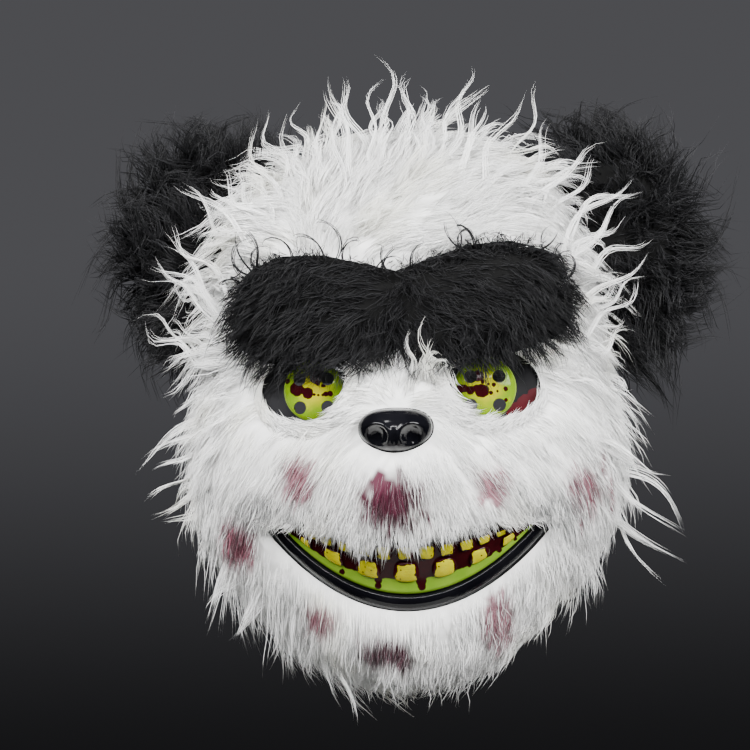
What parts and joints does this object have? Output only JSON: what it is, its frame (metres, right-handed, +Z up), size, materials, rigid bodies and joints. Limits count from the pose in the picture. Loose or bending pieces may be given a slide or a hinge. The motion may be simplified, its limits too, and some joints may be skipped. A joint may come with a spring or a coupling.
{
  "type": "plush horror mask",
  "caption": "Fur-covered animal mask: a thin moulded shell with round peephole eyes, a button nose and a toothy grin, with fur ears, a fur brow patch and an elastic head strap.",
  "frame": {"origin": "middle of the opening that the wearer's face goes into: in the plane of the shell's rim, level with the eyes", "axes": "+Z is up, the face looks along -Y, and +X is to the right as seen from in front of the face"},
  "size_m": [0.3411, 0.2301, 0.3248],
  "materials": {
    "shell": "glossy black moulded plastic",
    "eye": "glossy yellow-green with dark red splashes",
    "gum": "glossy green",
    "tooth": "glossy yellow with dark red at the roots",
    "white_fur": "long white pile with faded dark red stains",
    "black_fur": "long black pile",
    "elastic": "woven elastic"
  },
  "bodies": {
    "root": {"face_shell": "shell", "face_fur": "white_fur", "brow_fur": "black_fur", "ear_left": "black_fur", "ear_right": "black_fur", "eye_left": "eye", "eye_right": "eye", "nose": "shell", "mouth_lip": "shell", "mouth_gum": "gum", "tooth_lower_1": "tooth", "tooth_lower_2": "tooth", "tooth_lower_3": "tooth", "tooth_lower_4": "tooth", "tooth_lower_5": "tooth", "tooth_lower_6": "tooth", "tooth_lower_7": "tooth", "tooth_upper_1": "tooth", "tooth_upper_2": "tooth", "tooth_upper_3": "tooth", "tooth_upper_4": "tooth", "tooth_upper_5": "tooth", "tooth_upper_6": "tooth", "tooth_upper_7": "tooth", "tooth_upper_8": "tooth", "tooth_upper_9": "tooth", "tooth_upper_10": "tooth", "tooth_upper_11": "tooth", "head_strap": "elastic"}
  },
  "joints": []
}
